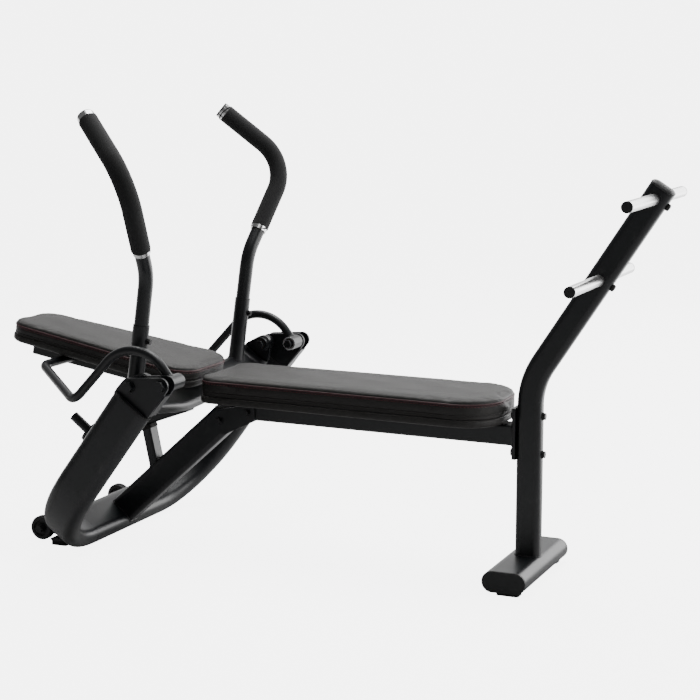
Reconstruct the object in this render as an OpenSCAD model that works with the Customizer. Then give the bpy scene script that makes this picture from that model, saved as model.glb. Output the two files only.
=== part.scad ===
// Lever bench: a flat bench whose back pad lifts as two overhead handles are pulled forward.
// Millimetres, +Z up. +X points to the foot end, +Y to the user's right side when lying down.
// The origin is on the floor, under the middle of the bench.
// Inside each sub-part, positions are measured from the floor under the front foot's centre line.

/* [Main tube] */
// Width of the flat-oval main tube
tube_w = 105; // [90:1:115]
// Thickness of the flat-oval main tube
tube_t = 50; // [44:1:54]
// Wall of the frame tubes
wall = 2.5; // [1.5:0.5:3]

/* [Front foot and post] */
// Length of the front foot across the bench
foot_len = 338; // [300:2:380]
// Height of the rubber feet under the front foot
foot_pad_h = 6; // [5:1:10]
// Height of the bend in the front post
post_bend_z = 470; // [455:5:490]
// Lean of the upper post from the vertical
post_lean = 33; // [30:1:36]
// Length of the upper post, from the bend to its end
post_upper = 546; // [535:1:560]
// Distance of the lower foot bar from the bend
peg_low = 296; // [280:1:310]
// Distance of the upper foot bar from the bend
peg_high = 518; // [505:1:525]
// Length of each foot bar
peg_len = 504; // [440:2:540]
// Diameter of the foot bars
peg_d = 26; // [22:1:28]

/* [Bench] */
// Height of the top of the bench pad
bench_top = 436; // [430:1:440]
// Length of the bench pad
bench_pad_len = 770; // [740:5:775]
// Width of both pads
pad_w = 262; // [240:2:280]
// Size of the square bench beam
beam = 50; // [46:1:50]
// Rise of the bench towards the head end
bench_slope = 0.5; // [0:0.1:0.6]

/* [Rear frame] */
// Spacing of the two rear legs, centre to centre
leg_gap = 752; // [744:2:764]
// Lean of the rear legs from the vertical
leg_lean = 36.5; // [36:0.1:37]
// Length of each rear leg above the cross tube's centre line
leg_len = 460; // [455:1:462]
// Radius of the two large bends, on the tube's centre line
leg_bend = 200; // [180:5:205]

/* [Lever and back rest] */
// Spacing of the two handle sleeves, centre to centre
sleeve_gap = 530; // [520:2:536]
// Diameter of the handle tubes
handle_d = 36; // [34:0.5:37]
// Diameter of the foam grips
grip_d = 47; // [44:1:50]
// Diameter of the loop tube that carries the back pad
loop_d = 22; // [18:1:24]
// Tilt of the back pad, head end up
pad_tilt = 9.6; // [9.4:0.1:9.8]
// Length of the back pad
back_pad_len = 554; // [540:2:560]
// Diameter of the peg that holds weight plates
horn_d = 25; // [22:1:28]

/* [Hidden] */
$fn = 64;

frame_black = [0.07, 0.07, 0.08];
rubber_black = [0.04, 0.04, 0.04];
pad_black = [0.11, 0.10, 0.10];
foam_grey = [0.16, 0.16, 0.16];
bright_steel = [0.75, 0.75, 0.77];
wood = [0.62, 0.50, 0.34];
bronze = [0.60, 0.48, 0.28];

foot_x = 527.9;         // front foot's centre line, from the middle of the bench
foot_z = foot_pad_h + tube_t / 2;
cap_t = 6;             // lip of an end cap
plug_deep = 20;        // part of a plug that is inside its tube
fit_gap = 0.3;         // room round a plug or between neighbours that don't touch
bore_gap = 0.1;        // room between the handle tube and what slides over it

post_w = 60;           // front post, along the bench
post_d = 40;           // front post, across the bench
post_r = 15;
post_x = 5.5;
post_axis = [sin(post_lean), 0, cos(post_lean)];
post_knee = [post_x, 0, post_bend_z];
post_top = post_knee + post_upper * post_axis;
post_bend_r = 180;

beam_top = 369;
beam_x0 = -713;        // rear end of the bench beam, from its flange end
flange_t = 8;
flange_x = post_x - post_w / 2 - flange_t;
flange_z = [285, 410];
bolt_z = [300, 391];
bracket_t = 4;
board_t = 12;
bench_pad_x1 = -14;       // foot end of the bench pad, from the flange end of the beam
pad_bracket_x = [-608, -98];
bench_pad_x0 = bench_pad_x1 - bench_pad_len;

rear_x = -1117;        // cross tube of the rear frame
rear_z = 46;
leg_y = leg_gap / 2;
leg_axis = [sin(leg_lean), 0, cos(leg_lean)];
collar_t = 6;
axis_a = [-846, 461];  // lever pivot, x and z
axis_b = [-762, 468];  // back rest pivot, x and z
cheek_t = 5;
cheek_in = 351;        // inner and outer faces of a pivot bracket
cheek_out = 388;

pin_r = 8;             // pivot bolts
run_gap = 0.05;        // running clearance on a radius
weld = 0.03;           // lap of a straight tube into its bend, and step from a flat to a round
bush_r = 12;
hub_r = 18;
hub_y = [300, 348];

diag_w = 72;           // diagonal beam, in the upright plane
diag_d = 50;           // diagonal beam, across the bench
diag_lean = 42;
diag_top = [-790, 0, 327];
diag_len = 422;
stop_lean = -12;
stop_foot = [-992, 0, 160];

cradle_w = 80;
cradle_t = 32;
cradle_y = 318;
cradle_drop = 128;     // lowest point of the cradle below the lever pivot, along the legs
cradle_slope = 12;

sleeve_d = 40;
sleeve_y = sleeve_gap / 2;
sleeve_foot = [-906, 401];
sleeve_head = [-880, 588];

arm_w = 40;
arm_h = 50;
arm_lean = 20;
arm_root = [-905, 0, 354];
arm_len = 306;
horn_root = [-1193, 0, 249];
horn_lean = -52;
horn_len = 56;
roller_at = [-1050, 378];
roller_r = 20;
roller_w = 38;

pad_ref = [-899, 0, 467];     // a point on the back pad's upper face
back_pad_t = 38;
back_board_t = 11;
back_beam_h = 42;
back_pad_x1 = 66;
back_pad_x0 = back_pad_x1 - back_pad_len;
head_w = 196;          // width of the back pad at its head end
loop_y = 330;
loop_bar = [-1225, 452];

wheel_at = [-1226, 36];
wheel_y = 186;
wheel_r = 30;
wheel_w = 24;
axle_r = 6;

// ---- Geometry helpers ----

function unit(v) = v / norm(v);
function turn(a, b, c) = acos(unit(b - a) * unit(c - b));
function trim_at(p, r, i) = (i == 0 || i == len(p) - 1) ? 0 : r[i] * tan(turn(p[i-1], p[i], p[i+1]) / 2);
function across(d, side) = unit(cross(abs(d * side) > 0.99 ? [1, 0, 0] : side, d));
function placed(o, x, y, z) = [[x[0], y[0], z[0], o[0]], [x[1], y[1], z[1], o[1]], [x[2], y[2], z[2], o[2]]];
function mirror_y(v, s) = [v[0], s * v[1], v[2]];

// Moves a shape from the front foot's centre line to the bench's own origin
module from_foot() translate([foot_x, 0, 0]) children();

// Draws a shape on the left side and its mirror image on the right side
module both_sides() for (s = [0, 1]) mirror([0, s, 0]) children();

module ring(r_out, r_in) difference() {
  circle(r_out);
  circle(r_in);
}

// Flat-oval outline: w is its long side, along y
module oval(w, t) {
  square([t, w - t], center = true);
  for (s = [-1, 1]) translate([0, s * (w - t) / 2]) circle(d = t);
}

module oval_ring(w, t, wall) difference() {
  oval(w, t);
  oval(w - 2 * wall, t - 2 * wall);
}

module soft_square(w, d, r) {
  square([w - 2 * r, d], center = true);
  square([w, d - 2 * r], center = true);
  for (x = [-1, 1], y = [-1, 1]) translate([x * (w / 2 - r), y * (d / 2 - r)]) circle(r);
}

module soft_square_ring(w, d, r, wall) difference() {
  soft_square(w, d, r);
  soft_square(w - 2 * wall, d - 2 * wall, r - wall);
}

// Outline of a belt stretched round circles [x, y, r], listed anticlockwise
function belt_normal(a, b) = let (
    d = [b[0] - a[0], b[1] - a[1]], l = norm(d), k = (a[2] - b[2]) / l, u = d / l)
  u * k + [u[1], -u[0]] * sqrt(1 - k * k);
module belt(c) {
  polygon([for (i = [0 : len(c) - 1]) let (a = c[i], b = c[(i + 1) % len(c)], m = belt_normal(a, b))
    each [[a[0], a[1]] + (a[2] - weld) * m, [b[0], b[1]] + (b[2] - weld) * m]]);
  for (k = c) if (k[2] > 0.5) translate([k[0], k[1]]) circle(k[2]);
}

// Straight bar along a direction; the outline's y side stays along the vector side
module bar(from, to, side = [0, 1, 0]) {
  d = unit(to - from);
  x = across(d, side);
  multmatrix(placed(from, x, cross(d, x), d)) linear_extrude(norm(to - from)) children();
}

function dir_at(p, i) = unit(p[i + 1] - p[i]);
function bend_axis(p, i) = unit(cross(dir_at(p, i - 1), dir_at(p, i)));
function twist_at(p, i) = i == 1 ? 0 : let (a = bend_axis(p, i - 1), b = bend_axis(p, i))
  atan2(cross(a, b) * dir_at(p, i - 1), a * b);

// Straight part i of a bent tube, then the bend after it, then the rest of the tube.
// A bend is a hair slimmer than the straight parts, which lap into it, so they always join.
module run_on(p, r, i) {
  straight = norm(p[i + 1] - p[i]) - trim_at(p, r, i) - trim_at(p, r, i + 1);
  start = i > 0 ? weld : 0;
  end = i < len(p) - 2 ? weld : 0;
  translate([0, 0, -start]) linear_extrude(start + straight + end) children();
  if (i < len(p) - 2) {
    angle = turn(p[i], p[i + 1], p[i + 2]);
    radius = r[i + 1];
    translate([0, 0, straight]) rotate([0, 0, twist_at(p, i + 1)]) translate([-radius, 0, 0]) {
      rotate([90, 0, 0]) rotate_extrude(angle = angle, $fn = 128) translate([radius, 0]) scale(1 - weld / 6) children();
      rotate([0, -angle, 0]) translate([radius, 0, 0]) run_on(p, r, i + 1) children();
    }
  }
}

// Tube along points p with the bend radii r; the outline's y side is square to the plane of a bend
module bent_tube(p, r) {
  d = dir_at(p, 0);
  b = bend_axis(p, 1);
  multmatrix(placed(p[0], -cross(b, d), -b, d)) run_on(p, r, 0) children();
}

// Cylinder along Y between two distances from the middle
module along_y(at, r, y0, y1) translate([at[0], y0, at[1]]) rotate([-90, 0, 0]) cylinder(r = r, h = y1 - y0);

// Plate in the upright plane, between two distances from the middle
module upright_plate(y0, y1) translate([0, y1, 0]) rotate([90, 0, 0]) linear_extrude(y1 - y0) children();

// Hexagon bolt head or nut along Y
module hex_y(at, flats, y0, y1)
  translate([at[0], y0, at[1]]) rotate([-90, 0, 0]) cylinder(d = flats / cos(30), h = y1 - y0, $fn = 6);

// ---- Front foot ----

module front_foot_body(w, t, len)
  translate([0, -len / 2, foot_z]) rotate([-90, 0, 0]) linear_extrude(len) rotate(90) oval(w, t);

module front_foot_tube() color(frame_black) from_foot() difference() {
  front_foot_body(tube_w, tube_t, foot_len - 2 * cap_t);
  front_foot_body(tube_w - 2 * wall, tube_t - 2 * wall, foot_len);
}

module front_foot_caps() color(rubber_black) from_foot() both_sides() {
  translate([0, foot_len / 2 - cap_t, foot_z]) rotate([-90, 0, 0]) {
    linear_extrude(cap_t) rotate(90) oval(tube_w, tube_t);
    translate([0, 0, -plug_deep]) linear_extrude(plug_deep)
      rotate(90) oval_ring(tube_w - 2 * wall - fit_gap, tube_t - 2 * wall - fit_gap, 3);
  }
}

module front_rubber_feet() color(rubber_black) from_foot() both_sides()
  translate([8, foot_len / 2 - 20, 0]) linear_extrude(foot_pad_h) soft_square(54, 34, 8);

// ---- Front post and foot bars ----

module on_post(along) translate(post_knee + along * post_axis) rotate([0, post_lean, 0]) children();

module front_post() color(frame_black) from_foot() difference() {
  bent_tube([[post_x, 0, foot_z], post_knee, post_top], [0, post_bend_r, 0])
    soft_square_ring(post_w, post_d, post_r, wall);
  front_foot_body(tube_w, tube_t, foot_len);
  for (along = [peg_low, peg_high]) on_post(along) rotate([90, 0, 0]) cylinder(d = peg_d, h = 99, center = true);
  for (z = bolt_z) translate([post_x, 0, z]) rotate([0, 90, 0]) cylinder(r = 5.2, h = 99, center = true);
}

module post_cap() color(rubber_black) from_foot() on_post(post_upper) {
  linear_extrude(4) soft_square(post_w, post_d, post_r);
  translate([0, 0, 4]) linear_extrude(3.5) soft_square(post_w - 7, post_d - 7, post_r - 3.5);
  translate([0, 0, 7.5]) linear_extrude(2.5) soft_square(post_w - 18, post_d - 16, post_r - 8);
  translate([0, 0, -7]) linear_extrude(7)
    soft_square_ring(post_w - 2 * wall - fit_gap, post_d - 2 * wall - fit_gap, post_r - wall, 2.5);
}

module foot_bar(along) color(bright_steel) from_foot() on_post(along) rotate([90, 0, 0])
  difference() {
    cylinder(d = peg_d, h = peg_len - 8, center = true);
    cylinder(d = peg_d - 4, h = peg_len, center = true);
  }
module upper_foot_bar() foot_bar(peg_high);
module lower_foot_bar() foot_bar(peg_low);

module foot_bar_plugs() color(rubber_black) from_foot() both_sides()
  for (along = [peg_low, peg_high]) on_post(along) rotate([-90, 0, 0]) translate([0, 0, peg_len / 2 - 4]) {
    cylinder(d = peg_d, h = 4);
    translate([0, 0, -16]) cylinder(d = peg_d - 4 - fit_gap, h = 16);
  }

module foot_bar_set_screws() color(rubber_black) from_foot()
  for (along = [peg_low, peg_high]) on_post(along) translate([post_w / 2, 0, 0]) rotate([0, 90, 0]) {
    cylinder(r = 7, h = 2);
    cylinder(r = 5, h = 7, $fn = 6);
  }

// ---- Bench beam, flange and bench pad ----

// Places a shape on the bench beam's upper face; x runs along the beam from its flange end
module on_bench() translate([flange_x, 0, beam_top]) rotate([0, bench_slope, 0]) children();

module bench_beam() color(frame_black) from_foot() difference() {
  on_bench() translate([beam_x0, 0, -beam / 2]) rotate([0, 90, 0])
    linear_extrude(1 - beam_x0) soft_square_ring(beam, beam, 6, wall);
  translate([flange_x, -50, beam_top - 100]) cube([20, 100, 200]);
}

module beam_flange_plate() color(frame_black) from_foot() difference() {
  translate([flange_x, 0, (flange_z[0] + flange_z[1]) / 2]) rotate([0, 90, 0])
    linear_extrude(flange_t) soft_square(flange_z[1] - flange_z[0], post_d + 6, 6);
  for (z = bolt_z) translate([flange_x, 0, z]) rotate([0, 90, 0]) cylinder(r = 5.2, h = 99, center = true);
}

module flange_bolts() color(rubber_black) from_foot() for (z = bolt_z) translate([flange_x, 0, z]) rotate([0, 90, 0]) {
  translate([0, 0, -8]) cylinder(d = 17 / cos(30), h = 8, $fn = 6);
  cylinder(r = 5, h = post_w + flange_t);
  translate([0, 0, post_w + flange_t]) cylinder(r = 9.5, h = 2);
  translate([0, 0, post_w + flange_t + 2]) cylinder(r = 8, h = 5);
}

module bench_pad_brackets() color(frame_black) from_foot() on_bench() for (x = pad_bracket_x)
  translate([x, 0, 0]) linear_extrude(bracket_t) difference() {
    soft_square(40, 190, 8);
    for (s = [-1, 1]) translate([0, s * 80]) circle(4.2);
  }

// Pad outline with rounded corners; w0 and r0 are its width and radius at the head end
module pad_outline(x0, x1, w0, w1, r0, r1) belt([
  [x0 + r0, r0 - w0 / 2, r0], [x1 - r1, r1 - w1 / 2, r1], [x1 - r1, w1 / 2 - r1, r1], [x0 + r0, w0 / 2 - r0, r0]]);

module bench_pad_board() color(wood) from_foot() on_bench() translate([0, 0, bracket_t])
  linear_extrude(board_t) difference() {
    pad_outline(bench_pad_x0 + 10, bench_pad_x1 - 10, pad_w - 34, pad_w - 20, 30, 90);
    for (x = pad_bracket_x, s = [-1, 1]) translate([x, s * 80]) circle(4.2);
  }

module bench_pad() color(pad_black) from_foot() on_bench() translate([0, 0, bracket_t + board_t])
  linear_extrude(bench_top - beam_top - bracket_t - board_t)
    pad_outline(bench_pad_x0, bench_pad_x1, pad_w - 14, pad_w, 40, 100);

module bench_pad_screws() color(rubber_black) from_foot() on_bench() for (x = pad_bracket_x, s = [-1, 1])
  translate([x, s * 80, 0]) {
    translate([0, 0, -5]) cylinder(r = 7, h = 5);
    cylinder(r = 4, h = bracket_t + board_t);
  }

// ---- Rear frame ----

function leg_point(y, t) = [rear_x, y, rear_z] + t * leg_axis;

module rear_u()
  bent_tube([leg_point(-leg_y, leg_len), leg_point(-leg_y, 0), leg_point(leg_y, 0), leg_point(leg_y, leg_len)],
            [0, leg_bend, leg_bend, 0]) children();
module rear_u_frame() color(frame_black) from_foot() rear_u() oval_ring(tube_w, tube_t, wall);
module rear_u_body() rear_u() oval(tube_w, tube_t);

// Places a shape at the end of a leg: x across the leg in the upright plane, z along the leg
module on_leg_end(s) translate(leg_point(s * leg_y, leg_len)) rotate([0, leg_lean, 0]) children();

module leg_collars() color(rubber_black) from_foot() for (s = [-1, 1]) on_leg_end(s) {
  linear_extrude(collar_t) rotate(90) oval(tube_w + 4, tube_t + 4);
  translate([0, 0, -plug_deep]) linear_extrude(plug_deep)
    rotate(90) oval_ring(tube_w - 2 * wall - fit_gap, tube_t - 2 * wall - fit_gap, 3);
}

// A pivot in the coordinates of the leg end, above the collar
leg_head = leg_point(0, leg_len + collar_t);
function in_bracket(p) = let (d = [p[0] - leg_head[0], p[1] - leg_head[2]])
  [d[0] * cos(leg_lean) - d[1] * sin(leg_lean), d[0] * sin(leg_lean) + d[1] * cos(leg_lean)];

module bracket_outline() {
  a = in_bracket(axis_a);
  b = in_bracket(axis_b);
  belt([[-tube_w / 2 + 4, 4, 4], [tube_w / 2 - 4, 4, 4], [b[0], b[1], 20], [a[0], a[1], 21]]);
}

module pivot_bracket(s) color(frame_black) from_foot() difference() {
  half = (cheek_out - cheek_in) / 2;
  translate([0, s * (cheek_in + half), 0] + leg_head) rotate([0, leg_lean, 0]) rotate([90, 0, 0]) {
    for (y = [-half, half - cheek_t]) translate([0, 0, y]) linear_extrude(cheek_t) bracket_outline();
    // base plate and the web along the lower edge join the cheeks
    translate([0, 0, cheek_t - half]) linear_extrude(2 * (half - cheek_t)) {
      translate([-tube_w / 2 + 4, 0]) square([tube_w - 8, cheek_t]);
      polygon([[tube_w / 2 - cheek_t, 4], [tube_w / 2, 4], [tube_w / 2 + 4, 70], [tube_w / 2 - 1, 70]]);
    }
  }
  for (p = [axis_a, axis_b]) along_y(p, pin_r + 0.2, -500, 500);
}
module pivot_bracket_left() pivot_bracket(-1);
module pivot_bracket_right() pivot_bracket(1);

module diagonal_beam() color(frame_black) from_foot() difference() {
  translate(diag_top) rotate([0, -diag_lean, 0]) translate([-diag_len, 0, 0]) rotate([0, 90, 0])
    linear_extrude(diag_len) soft_square_ring(diag_w, diag_d, 12, wall);
  rear_u_body();
}

module diagonal_beam_plug() color(rubber_black) from_foot()
  translate(diag_top) rotate([0, -diag_lean, 0]) rotate([90, 0, 0]) translate([0, 0, -diag_d / 2])
    linear_extrude(diag_d) intersection() {
      translate([0, -diag_w / 2]) square([20, diag_w]);
      translate([-40, 0]) circle(54);
    }

// Two cheeks join the diagonal beam's upper end to the bench beam
gusset_holes = [[-800, 318], [-722, 344]];
module beam_gussets() color(frame_black) from_foot() both_sides() difference() {
  upright_plate(beam / 2, beam / 2 + 5)
    belt([[-806, 306, 10], [-786, 292, 8], [-712, 333, 12], [-712, 354, 12], [-800, 334, 12]]);
  for (p = gusset_holes) along_y(p, 5.2, -99, 99);
}

module gusset_bolts() color(rubber_black) from_foot() both_sides() for (p = gusset_holes) {
  along_y(p, 9, beam / 2 + 5, beam / 2 + 7);
  hex_y(p, 15, beam / 2 + 7, beam / 2 + 13);
  along_y(p, 4, beam / 2, beam / 2 + 5);
}

// ---- Stop post ----

module on_arm() translate(arm_root) rotate([0, -arm_lean, 0]) children();

module stop_post() color(frame_black) from_foot() difference() {
  translate(stop_foot) rotate([0, stop_lean, 0]) linear_extrude(200) soft_square_ring(25, 40, 4, 2);
  translate(diag_top) rotate([0, -diag_lean, 0]) translate([-diag_len, -99, -diag_w / 2]) cube([diag_len, 198, diag_w]);
  translate(arm_root) rotate([0, -arm_lean, 0]) translate([-400, -99, -arm_h / 2 - 10.5]) cube([400, 198, 300]);
}

module stop_bumper() color(rubber_black) from_foot()
  translate(arm_root) rotate([0, -arm_lean, 0]) translate([-131, 0, -arm_h / 2 - 10.5])
    linear_extrude(10) soft_square(30, 40, 5);

// ---- Rear feet and transport wheels ----

module rear_foot_brackets() color(frame_black) from_foot() both_sides() difference() {
  union() {
    upright_plate(wheel_y - 24, wheel_y - 18)
      belt([[-1186, 16, 4], [-1149, 16, 4], [-1140, 50, 6], [wheel_at[0], wheel_at[1], 14]]);
    translate([-1190, wheel_y - 18, 12]) cube([45, 40, 5]);
    translate([-1150, wheel_y - 18, 17]) cube([5, 40, 33]);
  }
  rear_u_body();
  along_y(wheel_at, axle_r + 0.2, 0, 300);
}

module rear_rubber_feet() color(rubber_black) from_foot() both_sides()
  translate([-1167.5, wheel_y - 1, 0]) linear_extrude(12) soft_square(45, 46, 7);

module wheel_bolts() color(rubber_black) from_foot() both_sides() {
  along_y(wheel_at, axle_r, wheel_y - 24, wheel_y + 18);
  hex_y(wheel_at, 17, wheel_y - 32, wheel_y - 24);
  along_y(wheel_at, 11, wheel_y + 15, wheel_y + 17);
  hex_y(wheel_at, 17, wheel_y + 17, wheel_y + 23);
}

module wheel(s) color(rubber_black) from_foot() mirror([0, s < 0 ? 1 : 0, 0])
  translate([wheel_at[0], wheel_y, wheel_at[1]]) rotate([-90, 0, 0]) rotate_extrude() {
    translate([axle_r + run_gap, -13]) square([6, 27]);
    translate([10, 4 - wheel_w / 2]) square([wheel_r - 12, wheel_w - 8]);
    translate([wheel_r - 10, -wheel_w / 2]) square([6, wheel_w]);
    translate([wheel_r - 4, 4 - wheel_w / 2]) square([4, wheel_w - 8]);
    for (z = [-1, 1]) translate([wheel_r - 4, z * (wheel_w / 2 - 4)]) circle(4);
  }
module wheel_left() wheel(-1);
module wheel_right() wheel(1);

// ---- Pivot bolts ----

module pivot_bolts(at) color(bright_steel) from_foot() both_sides() {
  hex_y(at, 24, cheek_out + 2.5, cheek_out + 11);
  along_y(at, 16, cheek_out, cheek_out + 2.5);
  along_y(at, pin_r, hub_y[0] - 13, cheek_out + 2.5);
  hex_y(at, 19, hub_y[0] - 12, hub_y[0] - 3);
  along_y(at, 11.5, hub_y[0] - 3, hub_y[0] - 0.7);
}
module lever_pivot_bolts() pivot_bolts(axis_a);
module backrest_pivot_bolts() pivot_bolts(axis_b);

module thrust_washers() color(rubber_black) from_foot() both_sides() for (at = [axis_a, axis_b]) difference() {
  along_y(at, 14, hub_y[1] + 0.4, cheek_in);
  along_y(at, pin_r, 0, 500);
}

module hubs(at) color(frame_black) from_foot() both_sides() difference() {
  along_y(at, hub_r, hub_y[0], hub_y[1]);
  along_y(at, bush_r, 0, 500);
}
module bushes(at) color(bronze) from_foot() both_sides() difference() {
  along_y(at, bush_r, hub_y[0], hub_y[1]);
  along_y(at, pin_r + run_gap, 0, 500);
}

// ---- Lever ----

module lever_hubs() hubs(axis_a);
module lever_bushes() bushes(axis_a);

// Point of the lever's cradle: y across the bench, t up the legs' direction from its lowest point
cradle_foot = [axis_a[0], 0, axis_a[1]] - cradle_drop * leg_axis;
function cradle_point(y, t) = [cradle_foot[0], y, cradle_foot[2]] + t * leg_axis;
cradle_route = [
  cradle_point(-cradle_y, cradle_drop - 32), cradle_point(-cradle_y, cradle_y * tan(cradle_slope)),
  cradle_point(0, 0),
  cradle_point(cradle_y, cradle_y * tan(cradle_slope)), cradle_point(cradle_y, cradle_drop - 32)];
cradle_bends = [0, 28, 400, 28, 0];

module cradle_body() bent_tube(cradle_route, cradle_bends) oval(cradle_w, cradle_t);

module lever_cradle() color(frame_black) from_foot() {
  bent_tube(cradle_route, cradle_bends) oval_ring(cradle_w, cradle_t, wall);
  // an ear on each arm carries the pivot hub
  both_sides() difference() {
    translate([0, cradle_y, 0] + cradle_point(0, cradle_drop - 32)) rotate([0, leg_lean, 0]) rotate([90, 0, 0])
      translate([0, 0, -6]) linear_extrude(12) belt([[-34, 4, 4], [34, 4, 4], [0, 32, 22]]);
    along_y(axis_a, hub_r, 0, 500);
  }
}

function sleeve_point(s, z) = let (k = (z - sleeve_foot[1]) / (sleeve_head[1] - sleeve_foot[1]))
  [sleeve_foot[0] + k * (sleeve_head[0] - sleeve_foot[0]), s * sleeve_y, z];

module handle_sleeves() color(frame_black) from_foot() difference() {
  for (s = [-1, 1]) bar(sleeve_point(s, 390), sleeve_point(s, sleeve_head[1]))
    ring(sleeve_d / 2, handle_d / 2 + bore_gap);
  cradle_body();
}

// The handle tube leaves the sleeve, swings out at the knee and turns back at the elbow
knee_z = 708;
handle_elbow = [-822, 422, 938];
handle_end = [-975, 338, 1080];
function handle_route(s) = [
  sleeve_point(s, 470), sleeve_point(s, knee_z),
  mirror_y(handle_elbow, s), mirror_y(handle_end, s)];
handle_bends = [0, 110, 105, 0];

module handle_tube(s) color(frame_black) from_foot()
  bent_tube(handle_route(s), handle_bends) ring(handle_d / 2, handle_d / 2 - 2);
module handle_tube_left() handle_tube(-1);
module handle_tube_right() handle_tube(1);

// The grip starts a short way above the knee's bend
grip_from = 82;
collar_len = 12;
function grip_route(s, from) = let (r = handle_route(s), d = unit(r[2] - r[1]), e = unit(r[3] - r[2]))
  [r[1] + from * d, r[2], r[3] - 14 * e];

module foam_grip(s) color(foam_grey) from_foot()
  bent_tube(grip_route(s, grip_from), [0, 105, 0]) ring(grip_d / 2, handle_d / 2 + bore_gap);
module foam_grip_left() foam_grip(-1);
module foam_grip_right() foam_grip(1);

module grip_collars() color(bright_steel) from_foot() for (s = [-1, 1]) {
  low = grip_route(s, grip_from);
  d = unit(low[1] - low[0]);
  bar(low[0] - collar_len * d, low[0]) ring(handle_d / 2 + 3, handle_d / 2 + bore_gap);
  e = unit(low[2] - low[1]);
  bar(low[2], low[2] + 14 * e) ring(grip_d / 2 - 2, handle_d / 2 + bore_gap);
}

module handle_end_caps() color(rubber_black) from_foot() for (s = [-1, 1]) {
  r = handle_route(s);
  e = unit(r[3] - r[2]);
  bar(r[3], r[3] + 3 * e) circle(grip_d / 2 - 3);
  bar(r[3] - 12 * e, r[3]) circle(handle_d / 2 - 2 - fit_gap / 2);
}

module handle_set_bolts() color(rubber_black) from_foot() for (s = [-1, 1])
  translate(sleeve_point(s, 552)) rotate([0, 90 + atan((sleeve_head[0] - sleeve_foot[0]) / (sleeve_head[1] - sleeve_foot[1])), 0]) {
    translate([0, 0, sleeve_d / 2]) cylinder(r = 7, h = 3);
    translate([0, 0, sleeve_d / 2 + 3]) cylinder(r = 6.5, h = 6, $fn = 6);
  }

// ---- Weight arm, horn and lift roller ----

module weight_arm_body() translate(arm_root) rotate([0, -arm_lean, 0]) translate([-arm_len - 20, 0, 0])
  rotate([0, 90, 0]) linear_extrude(arm_len + 20) children();

module at_horn() translate(horn_root) rotate([0, horn_lean, 0]) children();

module weight_arm() color(frame_black) from_foot() difference() {
  weight_arm_body() soft_square_ring(arm_h, arm_w, 6, wall);
  cradle_body();
  at_horn() translate([-150, -99, 0]) cube([300, 198, 200]);
}

module weight_horn_flange() color(frame_black) from_foot() at_horn() cylinder(r = 29, h = 6);

module weight_horn() color(frame_black) from_foot() at_horn() translate([0, 0, 6]) difference() {
  cylinder(d = horn_d, h = horn_len);
  translate([0, 0, -1]) cylinder(d = horn_d - 6, h = horn_len + 2);
}

module weight_horn_cap() color(rubber_black) from_foot() at_horn() translate([0, 0, 6 + horn_len]) {
  cylinder(d = horn_d, h = 4);
  translate([0, 0, -12]) cylinder(d = horn_d - 6 - fit_gap, h = 12);
}

module lift_roller_bracket() color(frame_black) from_foot() both_sides() difference() {
  upright_plate(arm_w / 2, arm_w / 2 + 5)
    belt([[-1082, 296, 6], [-1020, 318, 6], [roller_at[0], roller_at[1], 14]]);
  along_y(roller_at, 5, 0, 99);
}

module lift_roller_pin() color(bright_steel) from_foot() {
  along_y(roller_at, 5, -arm_w / 2 - 8, arm_w / 2 + 8);
  for (y = [-arm_w / 2 - 8, arm_w / 2 + 5]) along_y(roller_at, 9, y, y + 3);
}

module lift_roller() color(rubber_black) from_foot() difference() {
  along_y(roller_at, roller_r, -roller_w / 2, roller_w / 2);
  along_y(roller_at, 5 + run_gap, -99, 99);
}

// ---- Back rest ----

loop_route = let (half = [
    [axis_b[0], loop_y, axis_b[1]], [-857, loop_y, 592], [-1033, loop_y, 403], [loop_bar[0], 165, loop_bar[1]]])
  concat(half, [for (i = [3 : -1 : 0]) mirror_y(half[i], -1)]);
loop_bends = [0, 100, 45, 45, 45, 45, 100, 0];

module loop_frame() color(frame_black) from_foot() difference() {
  bent_tube(loop_route, loop_bends) ring(loop_d / 2, loop_d / 2 - 2);
  along_y(axis_b, hub_r, -500, 500);
}

module backrest_hubs() hubs(axis_b);
module backrest_bushes() bushes(axis_b);

// Places a shape on the back rest: x along the pad towards the bench, z square to its upper face
module on_back_pad() translate(pad_ref) rotate([0, pad_tilt, 0]) children();

back_beam_z = -back_pad_t - back_board_t;
back_beam_x = [-440, -92];
module back_pad_beam() color(frame_black) from_foot() difference() {
  on_back_pad() translate([back_beam_x[0], 0, back_beam_z - back_beam_h / 2]) rotate([0, 90, 0])
    linear_extrude(back_beam_x[1] - back_beam_x[0]) soft_square_ring(back_beam_h, 50, 5, 2);
  along_y(loop_bar, loop_d / 2, -99, 99);
}

module back_pad_beam_plugs() color(rubber_black) from_foot() on_back_pad() {
  for (x = [back_beam_x[0] - 3, back_beam_x[1]]) translate([x, 0, back_beam_z - back_beam_h / 2])
    rotate([0, 90, 0]) linear_extrude(3) soft_square(back_beam_h, 50, 5);
}

module back_pad_board() color(wood) from_foot() on_back_pad() translate([0, 0, back_beam_z])
  linear_extrude(back_board_t) pad_outline(back_pad_x0 + 10, back_pad_x1 - 10, head_w - 20, pad_w - 20, 50, 60);

module back_pad() color(pad_black) from_foot() on_back_pad() translate([0, 0, -back_pad_t])
  linear_extrude(back_pad_t) pad_outline(back_pad_x0, back_pad_x1, head_w, pad_w, 60, 70);

module back_pad_screws() color(rubber_black) from_foot() on_back_pad()
  for (x = [-300, -150], s = [-1, 1]) translate([x, s * 40, back_beam_z]) {
    translate([0, 0, -5]) cylinder(r = 7, h = 5);
  }

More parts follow.
